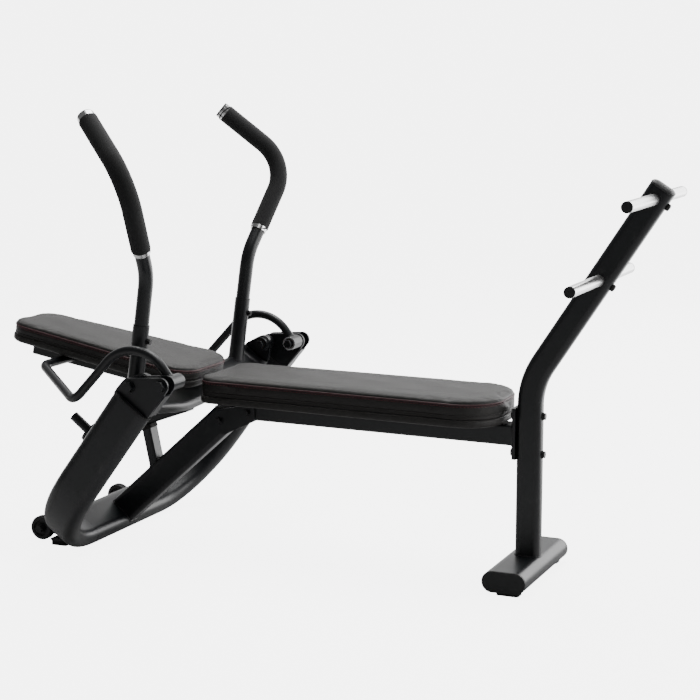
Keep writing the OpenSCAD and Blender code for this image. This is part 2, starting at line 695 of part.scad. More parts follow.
front_foot_tube();
front_foot_caps();
front_rubber_feet();
front_post();
post_cap();
upper_foot_bar();
lower_foot_bar();
foot_bar_plugs();
foot_bar_set_screws();
bench_beam();
beam_flange_plate();
flange_bolts();
bench_pad_brackets();
bench_pad_board();
bench_pad();
bench_pad_screws();
rear_u_frame();
leg_collars();
pivot_bracket_left();
pivot_bracket_right();
diagonal_beam();
diagonal_beam_plug();
beam_gussets();
gusset_bolts();
stop_post();
stop_bumper();
rear_foot_brackets();
rear_rubber_feet();
wheel_bolts();
wheel_left();
wheel_right();
lever_pivot_bolts();
backrest_pivot_bolts();
thrust_washers();
lever_cradle();
lever_hubs();
lever_bushes();
handle_sleeves();
weight_arm();
weight_horn();
weight_horn_flange();
weight_horn_cap();
lift_roller_bracket();
lift_roller_pin();
lift_roller();
handle_tube_left();
handle_tube_right();
foam_grip_left();
foam_grip_right();
grip_collars();
handle_end_caps();
handle_set_bolts();
loop_frame();
backrest_hubs();
backrest_bushes();
back_pad_beam();
back_pad_beam_plugs();
back_pad_board();
back_pad();
back_pad_screws();
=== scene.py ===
# Lever bench: a padded flat bench whose back pad lifts as two overhead handles are pulled forward.
# Metres, +Z up, +X towards the foot end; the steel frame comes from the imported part.
import bpy
import math
import bmesh
from mathutils import Matrix, Vector
from mathutils.bvhtree import BVHTree


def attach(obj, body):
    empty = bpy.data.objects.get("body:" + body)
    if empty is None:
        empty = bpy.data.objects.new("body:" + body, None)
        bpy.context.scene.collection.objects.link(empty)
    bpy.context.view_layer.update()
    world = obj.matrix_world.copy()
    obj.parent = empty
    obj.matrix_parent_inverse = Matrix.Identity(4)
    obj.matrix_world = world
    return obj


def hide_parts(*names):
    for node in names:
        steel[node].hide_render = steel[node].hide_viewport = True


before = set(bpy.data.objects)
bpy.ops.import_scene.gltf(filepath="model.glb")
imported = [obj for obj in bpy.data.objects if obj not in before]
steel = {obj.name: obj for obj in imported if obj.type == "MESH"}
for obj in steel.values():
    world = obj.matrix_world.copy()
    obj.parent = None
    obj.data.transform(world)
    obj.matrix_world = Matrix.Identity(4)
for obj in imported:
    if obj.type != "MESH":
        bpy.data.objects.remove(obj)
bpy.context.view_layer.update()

# ---- Studio ----
# A white sweep under soft boxes, with the camera a little above seat height at the foot end,
# so the long side, the upper faces of both pads and the foot bars all show.
FOCAL_MM = 90.25
camera = bpy.data.objects.new("camera", bpy.data.cameras.new("camera"))
camera.data.lens = FOCAL_MM
camera.data.sensor_width = 36
camera.data.clip_end = 60
camera.location = (1.7520, -3.8532, 1.2022)
camera.rotation_euler = (math.radians(80.7238), 0, math.radians(23.5386))
bpy.context.scene.collection.objects.link(camera)
bpy.context.scene.camera = camera

floor_mesh = bpy.data.meshes.new("studio_floor")
floor_rim = [(24 * math.cos(math.radians(a)), 24 * math.sin(math.radians(a)), 0) for a in range(0, 360, 6)]
floor_mesh.from_pydata([(0, 0, 0)] + floor_rim, [], [(0, i + 1, (i + 1) % 60 + 1) for i in range(60)])
studio_floor = bpy.data.objects.new("studio_floor", floor_mesh)
bpy.context.scene.collection.objects.link(studio_floor)


def named_material(name):
    """A new node material: its node tree, its Principled shader and its tree's link maker."""
    material = bpy.data.materials.new(name)
    material.use_nodes = True
    tree = material.node_tree
    return material, tree, tree.nodes["Principled BSDF"], tree.links.new


paper, tree, shader, join = named_material("seamless_paper")
shader.inputs["Base Color"].default_value = (0.42, 0.42, 0.42, 1)
shader.inputs["Roughness"].default_value = 0.9
paper_fibre = tree.nodes.new("ShaderNodeTexNoise")
paper_fibre.inputs["Scale"].default_value = 90
paper_bump = tree.nodes.new("ShaderNodeBump")
paper_bump.inputs["Strength"].default_value = 0.02
join(paper_fibre.outputs["Fac"], paper_bump.inputs["Height"])
join(paper_bump.outputs["Normal"], shader.inputs["Normal"])
floor_mesh.materials.append(paper)


def lit_backdrop(tree, coordinate, near, far, spread, seen, target):
    """Feeds a strength that grows from near to far behind the object, and is higher where it is looked at.
    spread is the pair of y coordinates between which it grows."""
    place = tree.nodes.new("ShaderNodeTexCoord")
    parts = tree.nodes.new("ShaderNodeSeparateXYZ")
    fade = tree.nodes.new("ShaderNodeMapRange")
    fade.inputs["From Min"].default_value, fade.inputs["From Max"].default_value = spread
    fade.inputs["To Min"].default_value, fade.inputs["To Max"].default_value = near, far
    ray = tree.nodes.new("ShaderNodeLightPath")
    strength = tree.nodes.new("ShaderNodeMapRange")
    strength.inputs["To Max"].default_value = seen
    tree.links.new(place.outputs[coordinate], parts.inputs["Vector"])
    tree.links.new(parts.outputs["Y"], fade.inputs["Value"])
    tree.links.new(fade.outputs["Result"], strength.inputs["To Min"])
    tree.links.new(ray.outputs["Is Camera Ray"], strength.inputs["Value"])
    tree.links.new(strength.outputs["Result"], target)


lit_backdrop(tree, "Object", 0.05, 1.9, (0.2, 1.6), 5.4, shader.inputs["Emission Strength"])
shader.inputs["Emission Color"].default_value = (1, 1, 1, 1)

world = bpy.data.worlds.new("studio_light")
world.use_nodes = True
backdrop = world.node_tree.nodes["Background"]
backdrop.inputs["Color"].default_value = (1, 1, 1, 1)
lit_backdrop(world.node_tree, "Generated", 0.13, 1.3, (0.2, 0.9), 5.6, backdrop.inputs["Strength"])
bpy.context.scene.world = world

for name, place, size, watts in (("key_soft_box", (1.0, -1.0, 3.8), 2.2, 18),
                                 ("foot_end_soft_box", (3.6, 1.0, 1.5), 2.0, 60),
                                 ("back_soft_box", (1.9, 4.2, 1.5), 3.4, 130),
                                 ("top_soft_box", (-0.4, 0.9, 3.6), 2.6, 140)):
    box_light = bpy.data.objects.new(name, bpy.data.lights.new(name, "AREA"))
    box_light.data.size = size
    box_light.data.energy = watts
    box_light.location = place
    box_light.rotation_euler = (Vector((-0.1, 0, 0.45)) - Vector(place)).to_track_quat("-Z", "Y").to_euler()
    box_light.visible_camera = False
    bpy.context.scene.collection.objects.link(box_light)

# ---- Finish effects shared by several materials ----
# Each is a node group: it takes sizes in 1/m and gives out a mask or a height over the surface.


def effect_group(name, inputs, outputs):
    """An empty node group with value inputs {name: default} and the listed value outputs."""
    group = bpy.data.node_groups.new(name, "ShaderNodeTree")
    for label, value in inputs.items():
        group.interface.new_socket(label, in_out="INPUT", socket_type="NodeSocketFloat").default_value = value
    for label in outputs:
        group.interface.new_socket(label, in_out="OUTPUT", socket_type="NodeSocketFloat")
    return group, group.nodes.new("NodeGroupInput"), group.nodes.new("NodeGroupOutput"), group.links.new


def worked(group, join, operation, first, second, clamp=False):
    """A Math node in the group; an argument is a socket or a number."""
    node = group.nodes.new("ShaderNodeMath")
    node.operation = operation
    node.use_clamp = clamp
    for socket, value in zip(node.inputs, (first, second)):
        if isinstance(value, (int, float)):
            socket.default_value = value
        else:
            join(value, socket)
    return node.outputs[0]


# Orange peel is the slight waviness of baked powder; cloud is the slow change of tone over a part.
orange_peel, given, result, join = effect_group("orange_peel", {"Peel size": 420, "Cloud size": 5},
                                                ["Peel", "Cloud"])
place = orange_peel.nodes.new("ShaderNodeTexCoord")
for label, size, octaves in (("Peel", "Peel size", 2), ("Cloud", "Cloud size", 4)):
    noise = orange_peel.nodes.new("ShaderNodeTexNoise")
    noise.inputs["Detail"].default_value = octaves
    join(place.outputs["Object"], noise.inputs["Vector"])
    join(given.outputs[size], noise.inputs["Scale"])
    join(noise.outputs["Fac"], result.inputs[label])

# Scuffs are the thin pale rub marks left by hands, shoes and plates.
scuffs, given, result, join = effect_group("scuffs", {"Mark size": 26, "Amount": 0.5}, ["Marks"])
place = scuffs.nodes.new("ShaderNodeTexCoord")
stretch = scuffs.nodes.new("ShaderNodeMapping")
stretch.inputs["Scale"].default_value = (1, 3.2, 0.7)
join(place.outputs["Object"], stretch.inputs["Vector"])
patch = scuffs.nodes.new("ShaderNodeTexNoise")
patch.inputs["Scale"].default_value = 3.5
join(place.outputs["Object"], patch.inputs["Vector"])
streak = scuffs.nodes.new("ShaderNodeTexNoise")
streak.inputs["Detail"].default_value = 6
join(stretch.outputs["Vector"], streak.inputs["Vector"])
join(given.outputs["Mark size"], streak.inputs["Scale"])
thin = worked(scuffs, join, "MULTIPLY_ADD", streak.outputs["Fac"], 9.0)
thin.node.inputs[2].default_value = -5.6
rare = worked(scuffs, join, "MULTIPLY_ADD", patch.outputs["Fac"], 5.0)
rare.node.inputs[2].default_value = -2.4
rare.node.use_clamp = thin.node.use_clamp = True
both = worked(scuffs, join, "MULTIPLY", thin, rare)
join(worked(scuffs, join, "MULTIPLY", both, given.outputs["Amount"]), result.inputs["Marks"])

# Pebble is the grain of leather and moulded parts: rounded cells with fine creases between them.
pebble, given, result, join = effect_group("pebble", {"Cell size": 700, "Crease": 0.12}, ["Grain", "Creases"])
place = pebble.nodes.new("ShaderNodeTexCoord")
wander = pebble.nodes.new("ShaderNodeTexNoise")
wander.inputs["Scale"].default_value = 60
join(place.outputs["Object"], wander.inputs["Vector"])
shifted = pebble.nodes.new("ShaderNodeMix")
shifted.data_type = "VECTOR"
shifted.inputs["Factor"].default_value = 0.006
join(place.outputs["Object"], shifted.inputs["A"])
join(wander.outputs["Color"], shifted.inputs["B"])
cells = pebble.nodes.new("ShaderNodeTexVoronoi")
cells.feature = "DISTANCE_TO_EDGE"
join(shifted.outputs["Result"], cells.inputs["Vector"])
join(given.outputs["Cell size"], cells.inputs["Scale"])
flat_top = worked(pebble, join, "DIVIDE", cells.outputs["Distance"], given.outputs["Crease"], clamp=True)
join(flat_top, result.inputs["Grain"])
# Creases is 1 in the creases between the cells; the materials that use it paint those creases darker, a
# painted shade
join(worked(pebble, join, "SUBTRACT", 1.0, flat_top), result.inputs["Creases"])


def placed_group(tree, group, **sizes):
    """The group's node in a material's tree, with its own values."""
    node = tree.nodes.new("ShaderNodeGroup")
    node.node_tree = group
    for label, value in sizes.items():
        node.inputs[label.replace("_", " ")].default_value = value
    return node


def blended(tree, join, factor, low, high):
    """A colour mix between two colours by a mask socket."""
    mix = tree.nodes.new("ShaderNodeMix")
    mix.data_type = "RGBA"
    join(factor, mix.inputs["Factor"])
    for socket, colour in ((mix.inputs["A"], low), (mix.inputs["B"], high)):
        if isinstance(colour, tuple):
            socket.default_value = (*colour, 1)
        else:
            join(colour, socket)
    return mix.outputs["Result"]


def ranged(tree, join, value, low, high):
    """The value from 0 to 1 spread over low to high."""
    spread = tree.nodes.new("ShaderNodeMapRange")
    spread.inputs["To Min"].default_value = low
    spread.inputs["To Max"].default_value = high
    join(value, spread.inputs["Value"])
    return spread.outputs["Result"]


def bumped(tree, join, height, shader, depth, strength=1.0):
    """A bump of the given depth in metres on the shader's normal."""
    bump = tree.nodes.new("ShaderNodeBump")
    bump.inputs["Distance"].default_value = depth
    bump.inputs["Strength"].default_value = strength
    join(height, bump.inputs["Height"])
    join(bump.outputs["Normal"], shader.inputs["Normal"])


def dress(material, *names):
    """Gives CAD nodes this material in every slot."""
    for name in names:
        mesh = steel[name].data
        mesh.materials.clear()
        mesh.materials.append(material)


# ---- Powder-coated steel frame ----
# Bent and welded tube, plates and brackets, all baked with one satin black powder that has a
# faint orange peel, a cold cast, and pale rub marks where it is handled.
powder, tree, shader, join = named_material("black_powder_coat")
peel = placed_group(tree, orange_peel, Peel_size=900, Cloud_size=6)
rubs = placed_group(tree, scuffs, Mark_size=34, Amount=0.22)
coat_tone = blended(tree, join, peel.outputs["Cloud"], (0.0040, 0.0052, 0.0070), (0.0066, 0.0076, 0.0090))
join(blended(tree, join, rubs.outputs["Marks"], coat_tone, (0.075, 0.073, 0.07)), shader.inputs["Base Color"])
join(ranged(tree, join, peel.outputs["Cloud"], 0.30, 0.42), shader.inputs["Roughness"])
shader.inputs["Specular IOR Level"].default_value = 0.5
shader.inputs["Coat Weight"].default_value = 0.10
shader.inputs["Coat Roughness"].default_value = 0.35
bumped(tree, join, peel.outputs["Peel"], shader, 0.00012, 0.6)
dress(powder, "front_foot_tube", "front_post", "bench_beam", "beam_flange_plate", "bench_pad_brackets",
      "rear_u_frame", "pivot_bracket_left", "pivot_bracket_right", "diagonal_beam", "beam_gussets",
      "stop_post", "rear_foot_brackets", "lever_cradle", "lever_hubs", "handle_sleeves", "weight_arm",
      "weight_horn", "weight_horn_flange", "lift_roller_bracket", "handle_tube_left",
"handle_tube_right", "loop_frame", "backrest_hubs", "back_pad_beam", "lever_pivot_bolts",
      "backrest_pivot_bolts")

# ---- Weld beads on the frame ----
# Rippled beads run round each tube where it lands on the next one: the post on the foot, the main
# beam on its flange, the slanted beam and stop post, the lever's sleeves, arm, hubs and peg, and the loop.
MM = 0.001


def to_metres(x, y, z):
    """A place given in millimetres from the front foot's centre line, in the frame's metres."""
    return Vector((x + 527.9, y, z)) * MM


def finished(name, mesh, material, body):
    """An object for the mesh, smooth, in one material, riding on a body."""
    piece = bpy.data.objects.new(name, mesh)
    bpy.context.scene.collection.objects.link(piece)
    for face in mesh.polygons:
        face.use_smooth = True
    mesh.materials.clear()
    mesh.materials.append(material)
    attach(piece, body)
    return piece


def lofted(name, rings, closed_ends=True, wrap=False):
    """A mesh through rings of the same count of points; wrap joins the last ring to the first."""
    mesh = bmesh.new()
    rows = [[mesh.verts.new(point) for point in ring] for ring in rings]
    for low, high in zip(rows, rows[1:] + (rows[:1] if wrap else [])):
        for k in range(len(low)):
            mesh.faces.new((low[k], low[(k + 1) % len(low)], high[(k + 1) % len(low)], high[k]))
    if closed_ends and not wrap:
        mesh.faces.new(list(reversed(rows[0])))
        mesh.faces.new(rows[-1])
    bmesh.ops.recalc_face_normals(mesh, faces=mesh.faces)
    data = bpy.data.meshes.new(name)
    mesh.to_mesh(data)
    mesh.free()
    return data


def swept(name, path, radius, sides=10, closed=False, ups=None):
    """A round cord or tube along the path; radius is a number or one number for each point."""
    count = len(path)
    rings = []
    for k, point in enumerate(path):
        before = path[k - 1] if k or closed else path[0]
        after = path[(k + 1) % count] if k < count - 1 or closed else path[-1]
        along = (after - before).normalized()
        up = ups[k] if ups else Vector((0, 0, 1)) if abs(along.z) < 0.9 else Vector((1, 0, 0))
        side = along.cross(up).normalized()
        top = side.cross(along)
        size = radius if isinstance(radius, (int, float)) else radius[k]
        angles = [2 * math.pi * a / sides for a in range(sides)]
        rings.append([point + size * (math.cos(angle) * side + math.sin(angle) * top) for angle in angles])
    return lofted(name, rings, wrap=closed)


def rounded_rim(x0, x1, w0, w1, r0, r1, step=0.006):
    """Points and outward directions round an outline with rounded corners, anticlockwise from above."""
    corners = [(x1 - r1, w1 / 2 - r1, r1, 0), (x0 + r0, w0 / 2 - r0, r0, 90),
               (x0 + r0, r0 - w0 / 2, r0, 180), (x1 - r1, r1 - w1 / 2, r1, 270)]
    rim = []
    for (x, y, r, start), (nx, ny, nr, _) in zip(corners, corners[1:] + corners[:1]):
        turns = max(6, round(r * math.pi / 2 / step))
        arc = [math.radians(start + 90 * k / turns) for k in range(turns + 1)]
        rim += [(Vector((x + r * math.cos(a), y + r * math.sin(a), 0)), Vector((math.cos(a), math.sin(a), 0)))
                for a in arc]
        way = Vector((math.cos(arc[-1]), math.sin(arc[-1]), 0))
        goal = Vector((nx + nr * way.x, ny + nr * way.y, 0))
        start_point = rim[-1][0]
        parts = max(1, round((goal - start_point).length / step))
        rim += [(start_point.lerp(goal, k / parts), way) for k in range(1, parts)]
    return rim


def upright_turned(degrees):
    """The direction of +Z after a lean towards +X by so many degrees."""
    return Vector((math.sin(math.radians(degrees)), 0, math.cos(math.radians(degrees))))


def outline_at(centre, way, wide, high, corner, step=0.0013):
    """A tube's outline in the plane through centre square to way; wide is its size across the bench."""
    across = Vector((0, 1, 0)) if abs(way.y) < 0.9 else Vector((1, 0, 0))
    up = across.cross(way).normalized()
    rim = rounded_rim(-high / 2, high / 2, wide, wide, corner, corner, step)
    return [centre + p.x * up + p.y * across for p, _ in rim]


post_way = upright_turned(33)
diagonal_way = -upright_turned(48)
stop_way = upright_turned(-12)
sleeve_way = Vector((26, 0, 187)).normalized()
arm_way = -upright_turned(70)
horn_way = upright_turned(-52)
loop_way = Vector((-95, 0, 124)).normalized()
lever_axis, backrest_axis = to_metres(-846, 0, 461), to_metres(-762, 0, 468)
post_knee = to_metres(5.5, 0, 470)
# name, body, the node it lands on, a point on the tube, the way to the landing, and the tube's outline
joints = [
    ("weld_post_foot", "frame", "front_foot_tube",
     to_metres(5.5, 0, 120), Vector((0, 0, -1)), 0.040, 0.060, 0.015),
    ("weld_beam_flange", "frame", "beam_flange_plate",
     to_metres(-60, 0, 344), Vector((1, 0, 0)), 0.050, 0.050, 0.006),
    ("weld_diagonal_foot", "frame", "rear_u_frame",
     to_metres(-790, 0, 327) + 0.30 * diagonal_way, diagonal_way, 0.050, 0.072, 0.012),
    ("weld_stop_foot", "frame", "diagonal_beam",
     to_metres(-992, 0, 160) + 0.12 * stop_way, -stop_way, 0.040, 0.025, 0.004),
    ("weld_arm_root", "lever", "lever_cradle",
     to_metres(-905, 0, 354) + 0.15 * arm_way, -arm_way, 0.040, 0.050, 0.006),
    ("weld_horn_root", "lever", "weight_horn_flange",
     to_metres(-1193, 0, 249) + 0.036 * horn_way, -horn_way, 0.025, 0.025, 0.0124)]
for side, hand in (("left", -1), ("right", 1)):
    across = Vector((0, hand, 0))
    joints += [
        ("weld_sleeve_" + side, "lever", "lever_cradle",
         to_metres(-895, hand * 265, 480), -sleeve_way, 0.040, 0.040, 0.0199),
        ("weld_hub_out_" + side, "lever", "lever_cradle",
         lever_axis + 0.345 * across, -across, 0.036, 0.036, 0.0179),
        ("weld_hub_in_" + side, "lever", "lever_cradle",
         lever_axis + 0.303 * across, across, 0.036, 0.036, 0.0179),
        ("weld_loop_end_" + side, "backrest", "backrest_hubs",
         backrest_axis + 0.33 * across + 0.06 * loop_way, -loop_way, 0.022, 0.022, 0.0109),
        ("weld_loop_bar_" + side, "backrest", "back_pad_beam",
         to_metres(-1225, hand * 60, 452), -across, 0.022, 0.022, 0.0109)]
BEAD_RADIUS = 0.0021
for name, body, target, centre, way, wide, high, corner in joints:
    landing = steel[target]
    surface = BVHTree.FromPolygons([landing.matrix_world @ v.co for v in landing.data.vertices],
                                   [face.vertices[:] for face in landing.data.polygons])
    hits = [surface.ray_cast(point, way, 0.35)[0] for point in outline_at(centre, way, wide, high, corner)]
    path = [hit for hit in hits if hit]
    if len(path) > 20:
        ripple = [BEAD_RADIUS * (1 + 0.16 * math.sin(1.15 * k) + 0.08 * math.sin(0.21 * k + 1))
                  for k in range(len(path))]
        bead = finished(name, swept(name, path, ripple, 8, closed=len(path) == len(hits)), powder, body)

# ---- Moulded caps, collars and plugs ----
# Injection-moulded black polypropylene pressed into tube ends, with a fine spark-eroded texture.
moulded, tree, shader, join = named_material("moulded_black_plastic")
spark = placed_group(tree, pebble, Cell_size=1500, Crease=0.3)
haze = placed_group(tree, orange_peel, Peel_size=300, Cloud_size=14)
join(blended(tree, join, haze.outputs["Cloud"], (0.007, 0.0075, 0.0082), (0.013, 0.013, 0.0135)),
     shader.inputs["Base Color"])
join(ranged(tree, join, haze.outputs["Cloud"], 0.48, 0.62), shader.inputs["Roughness"])
bumped(tree, join, spark.outputs["Grain"], shader, 0.00006)
dress(moulded, "front_foot_caps", "post_cap", "foot_bar_plugs", "leg_collars", "diagonal_beam_plug",
      "weight_horn_cap", "handle_end_caps", "back_pad_beam_plugs", "thrust_washers", "wheel_left",
      "wheel_right")

# the post's cap is a shallow dome with a square shoulder, pressed into the tube's end
cap, tree, shader, join = named_material("moulded_cap_painted_light")
spark = placed_group(tree, pebble, Cell_size=1500, Crease=0.3)
# the cap is painted light: a lighter grey than the other black moulded parts for the light it catches from
# the side, and darker in its grain's creases as painted shade
join(blended(tree, join, spark.outputs["Creases"], (0.060, 0.060, 0.062), (0.030, 0.030, 0.031)),
     shader.inputs["Base Color"])
shader.inputs["Roughness"].default_value = 0.5
bumped(tree, join, spark.outputs["Grain"], shader, 0.00006)
post_end = post_knee + 0.546 * post_way
cap_side = Vector((0, 1, 0)).cross(post_way)
cap_rim = rounded_rim(-0.030, 0.030, 0.040, 0.040, 0.015, 0.015, 0.002)
DOME_PROFILE = ((0, 0.0002), (-0.0004, 0.0012), (-0.0004, 0.0034), (0.0004, 0.0048), (0.0022, 0.0064),
                (0.0050, 0.0079), (0.0085, 0.0091), (0.0125, 0.0099))
dome_rings = [[post_end + height * post_way + (p.x - inset * out.x) * cap_side
               + Vector((0, p.y - inset * out.y, 0)) for p, out in cap_rim]
              for inset, height in DOME_PROFILE]
dome = finished("post_cap_dome", lofted("post_cap_dome", dome_rings), cap, "frame")
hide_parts("post_cap")

# the foot bars are held by round knobs on the post's front face, with a fluted rim
KNOB_PROFILE = ((0.0070, 0), (0.0082, 0.0006), (0.0084, 0.0040), (0.0080, 0.0060), (0.0068, 0.0074),
                (0.0046, 0.0081), (0.0018, 0.0084))
FLUTES, KNOB_SIDES = 12, 72
knob_mesh = bmesh.new()
for along in (0.296, 0.518):
    seat = post_knee + along * post_way + 0.030 * cap_side
    rows = []
    for radius, height in KNOB_PROFILE:
        flute = 0.0004 if 0.0005 < height < 0.0065 else 0
        row = []
        for angle in [math.radians(5 * k) for k in range(KNOB_SIDES)]:
            spoke = math.cos(angle) * post_way + Vector((0, math.sin(angle), 0))
            reach = radius + flute * math.cos(FLUTES * angle)
            row.append(knob_mesh.verts.new(seat + height * cap_side + reach * spoke))
        rows.append(row)
    for low, high in zip(rows, rows[1:]):
        for k in range(KNOB_SIDES):
            beside = (k + 1) % KNOB_SIDES
            knob_mesh.faces.new((low[k], low[beside], high[beside], high[k]))
    knob_mesh.faces.new(rows[0])
    knob_mesh.faces.new(rows[-1])
bmesh.ops.recalc_face_normals(knob_mesh, faces=knob_mesh.faces)
knobs = bpy.data.meshes.new("foot_bar_knobs")
knob_mesh.to_mesh(knobs)
knob_mesh.free()
knobs = finished("foot_bar_knobs", knobs, moulded, "frame")
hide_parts("foot_bar_set_screws")

# tread ribs round each transport wheel and a moulded ring on both of its faces
RIBS = ((0.0300, -0.006, 0.0010), (0.0300, -0.002, 0.0010), (0.0300, 0.002, 0.0010),
        (0.0300, 0.006, 0.0010), (0.0185, -0.0081, 0.0012), (0.0185, 0.0081, 0.0012))
round_turn = [math.radians(6 * k) for k in range(60)]
for side, hand in (("left", -1), ("right", 1)):
    for rib, (radius, offset, cord) in enumerate(RIBS):
        hub = to_metres(-1226, hand * 186, 36) + Vector((0, offset, 0))
        circle = [hub + radius * Vector((math.cos(a), 0, math.sin(a))) for a in round_turn]
        name = "wheel_rib_%s_%d" % (side, rib)
        cord_mesh = swept(name, circle, cord, 8, closed=True, ups=[Vector((0, 1, 0))] * len(circle))
        finished(name, cord_mesh, moulded, side + "_wheel")

# ---- Rubber feet, stop bumper and lift roller ----
# Soft black rubber, dull and slightly dusty, with a coarser moulded surface.
soft_rubber, tree, shader, join = named_material("soft_black_rubber")
skin = placed_group(tree, pebble, Cell_size=520, Crease=0.5)
dust = placed_group(tree, orange_peel, Peel_size=160, Cloud_size=20)
join(blended(tree, join, dust.outputs["Cloud"], (0.006, 0.006, 0.006), (0.018, 0.017, 0.016)),
     shader.inputs["Base Color"])
shader.inputs["Roughness"].default_value = 0.82
bumped(tree, join, skin.outputs["Grain"], shader, 0.00015)
dress(soft_rubber, "front_rubber_feet", "rear_rubber_feet", "stop_bumper", "lift_roller")

# ---- Bright foot bars, chrome collars and roller pin ----
# The foot bars are brushed round the tube and clear-plated; the grip collars are polished chrome.
brushed, tree, shader, join = named_material("brushed_bright_steel")
place = tree.nodes.new("ShaderNodeTexCoord")
lay = tree.nodes.new("ShaderNodeMapping")
lay.inputs["Scale"].default_value = (14, 900, 14)
hairline = tree.nodes.new("ShaderNodeTexNoise")
hairline.inputs["Scale"].default_value = 1
hairline.inputs["Detail"].default_value = 3
join(place.outputs["Object"], lay.inputs["Vector"])
join(lay.outputs["Vector"], hairline.inputs["Vector"])
shader.inputs["Metallic"].default_value = 1
join(blended(tree, join, hairline.outputs["Fac"], (0.80, 0.80, 0.80), (0.95, 0.95, 0.95)),
     shader.inputs["Base Color"])
join(ranged(tree, join, hairline.outputs["Fac"], 0.22, 0.38), shader.inputs["Roughness"])
bumped(tree, join, hairline.outputs["Fac"], shader, 0.00004)
dress(brushed, "upper_foot_bar", "lower_foot_bar", "lift_roller_pin")

# the inner ends of the back rest's hubs are faced bright on a lathe
for side, hand in (("left", -1), ("right", 1)):
    turned = []
    for a in round_turn:
        spoke = Vector((math.cos(a), 0, math.sin(a)))
        turned.append([backrest_axis + r * spoke + Vector((0, hand * y, 0))
                       for r, y in ((0.0121, 0.2998), (0.0172, 0.2997), (0.0178, 0.3003), (0.0121, 0.3003))])
    name = "hub_face_" + side
    finished(name, lofted(name, turned, wrap=True), brushed, "backrest")

chrome, tree, shader, join = named_material("polished_chrome")
smear = placed_group(tree, orange_peel, Peel_size=600, Cloud_size=40)
shader.inputs["Metallic"].default_value = 1
join(blended(tree, join, smear.outputs["Cloud"], (0.78, 0.78, 0.79), (0.88, 0.88, 0.88)),
     shader.inputs["Base Color"])
join(ranged(tree, join, smear.outputs["Cloud"], 0.10, 0.24), shader.inputs["Roughness"])
dress(chrome, "grip_collars")

# ---- Bolts, nuts and screws ----
# Black-oxide hardware: dark, slightly metallic, worn brighter in small patches.
black_oxide, tree, shader, join = named_material("black_oxide_hardware")
blot = placed_group(tree, orange_peel, Peel_size=500, Cloud_size=60)
worn = placed_group(tree, scuffs, Mark_size=120, Amount=0.4)
shader.inputs["Metallic"].default_value = 0.25
dark_oxide = blended(tree, join, blot.outputs["Cloud"], (0.010, 0.0105, 0.012), (0.020, 0.020, 0.021))
join(blended(tree, join, worn.outputs["Marks"], dark_oxide, (0.10, 0.10, 0.10)), shader.inputs["Base Color"])
join(ranged(tree, join, blot.outputs["Cloud"], 0.36, 0.48), shader.inputs["Roughness"])
bumped(tree, join, blot.outputs["Peel"], shader, 0.00004)
dress(black_oxide, "flange_bolts", "bench_pad_screws", "gusset_bolts", "wheel_bolts",
      "handle_set_bolts", "back_pad_screws")

# ---- Pivot bushes ----
# Sintered bronze sleeves pressed into the hubs; only their ends show.
bronze, tree, shader, join = named_material("sintered_bronze")
pores = placed_group(tree, pebble, Cell_size=1800, Crease=0.4)
shader.inputs["Metallic"].default_value = 1
# the pores are painted darker, a painted shade in them
join(blended(tree, join, pores.outputs["Creases"], (0.48, 0.34, 0.17), (0.22, 0.15, 0.08)),
     shader.inputs["Base Color"])
shader.inputs["Roughness"].default_value = 0.42
dress(bronze, "lever_bushes", "backrest_bushes")

# ---- Pad boards ----
# Plywood under each pad, stained black and seen only from below: long grain and fine ply lines.
plywood, tree, shader, join = named_material("black_stained_plywood")
place = tree.nodes.new("ShaderNodeTexCoord")
lay = tree.nodes.new("ShaderNodeMapping")
lay.inputs["Scale"].default_value = (3, 38, 300)
fibre = tree.nodes.new("ShaderNodeTexNoise")
fibre.inputs["Scale"].default_value = 2.2
fibre.inputs["Detail"].default_value = 7
join(place.outputs["Object"], lay.inputs["Vector"])
join(lay.outputs["Vector"], fibre.inputs["Vector"])
join(blended(tree, join, fibre.outputs["Fac"], (0.011, 0.009, 0.008), (0.030, 0.025, 0.021)),
     shader.inputs["Base Color"])
shader.inputs["Roughness"].default_value = 0.72
bumped(tree, join, fibre.outputs["Fac"], shader, 0.0002)
dress(plywood, "bench_pad_board", "back_pad_board")

# ---- Foam grips ----
# Closed-cell foam sleeves pushed over the handle tubes: dull charcoal, with fine open pores.
foam, tree, shader, join = named_material("charcoal_grip_foam")
cells = placed_group(tree, pebble, Cell_size=900, Crease=0.35)
grime = placed_group(tree, orange_peel, Peel_size=220, Cloud_size=18)
foam_tone = blended(tree, join, grime.outputs["Cloud"], (0.013, 0.013, 0.014), (0.019, 0.0185, 0.019))
# the creases between the foam cells are painted darker, a painted shade
join(blended(tree, join, cells.outputs["Creases"], foam_tone, (0.010, 0.010, 0.0105)),
     shader.inputs["Base Color"])
shader.inputs["Roughness"].default_value = 0.92
shader.inputs["Sheen Weight"].default_value = 0.05
bumped(tree, join, cells.outputs["Grain"], shader, 0.00008)
dress(foam, "foam_grip_left", "foam_grip_right")

# each sleeve's ends are cut square with a soft rolled edge
knee_share = (708 - 401) / 187
for side, hand in (("left", -1), ("right", 1)):
    knee = to_metres(-906 + 26 * knee_share, hand * 265, 708)
    elbow, end = to_metres(-822, hand * 422, 938), to_metres(-975, hand * 338, 1080)
    rise, reach = (elbow - knee).normalized(), (end - elbow).normalized()
    for tip, centre, way in (("low", knee + 0.082 * rise, rise), ("high", end - 0.014 * reach, reach)):
        name = "grip_edge_%s_%s" % (side, tip)
        roll = outline_at(centre, way, 0.0430, 0.0430, 0.02149, 0.003)
        edge = finished(name, swept(name, roll, 0.0022, 8, closed=True, ups=[way] * len(roll)), foam, "lever")

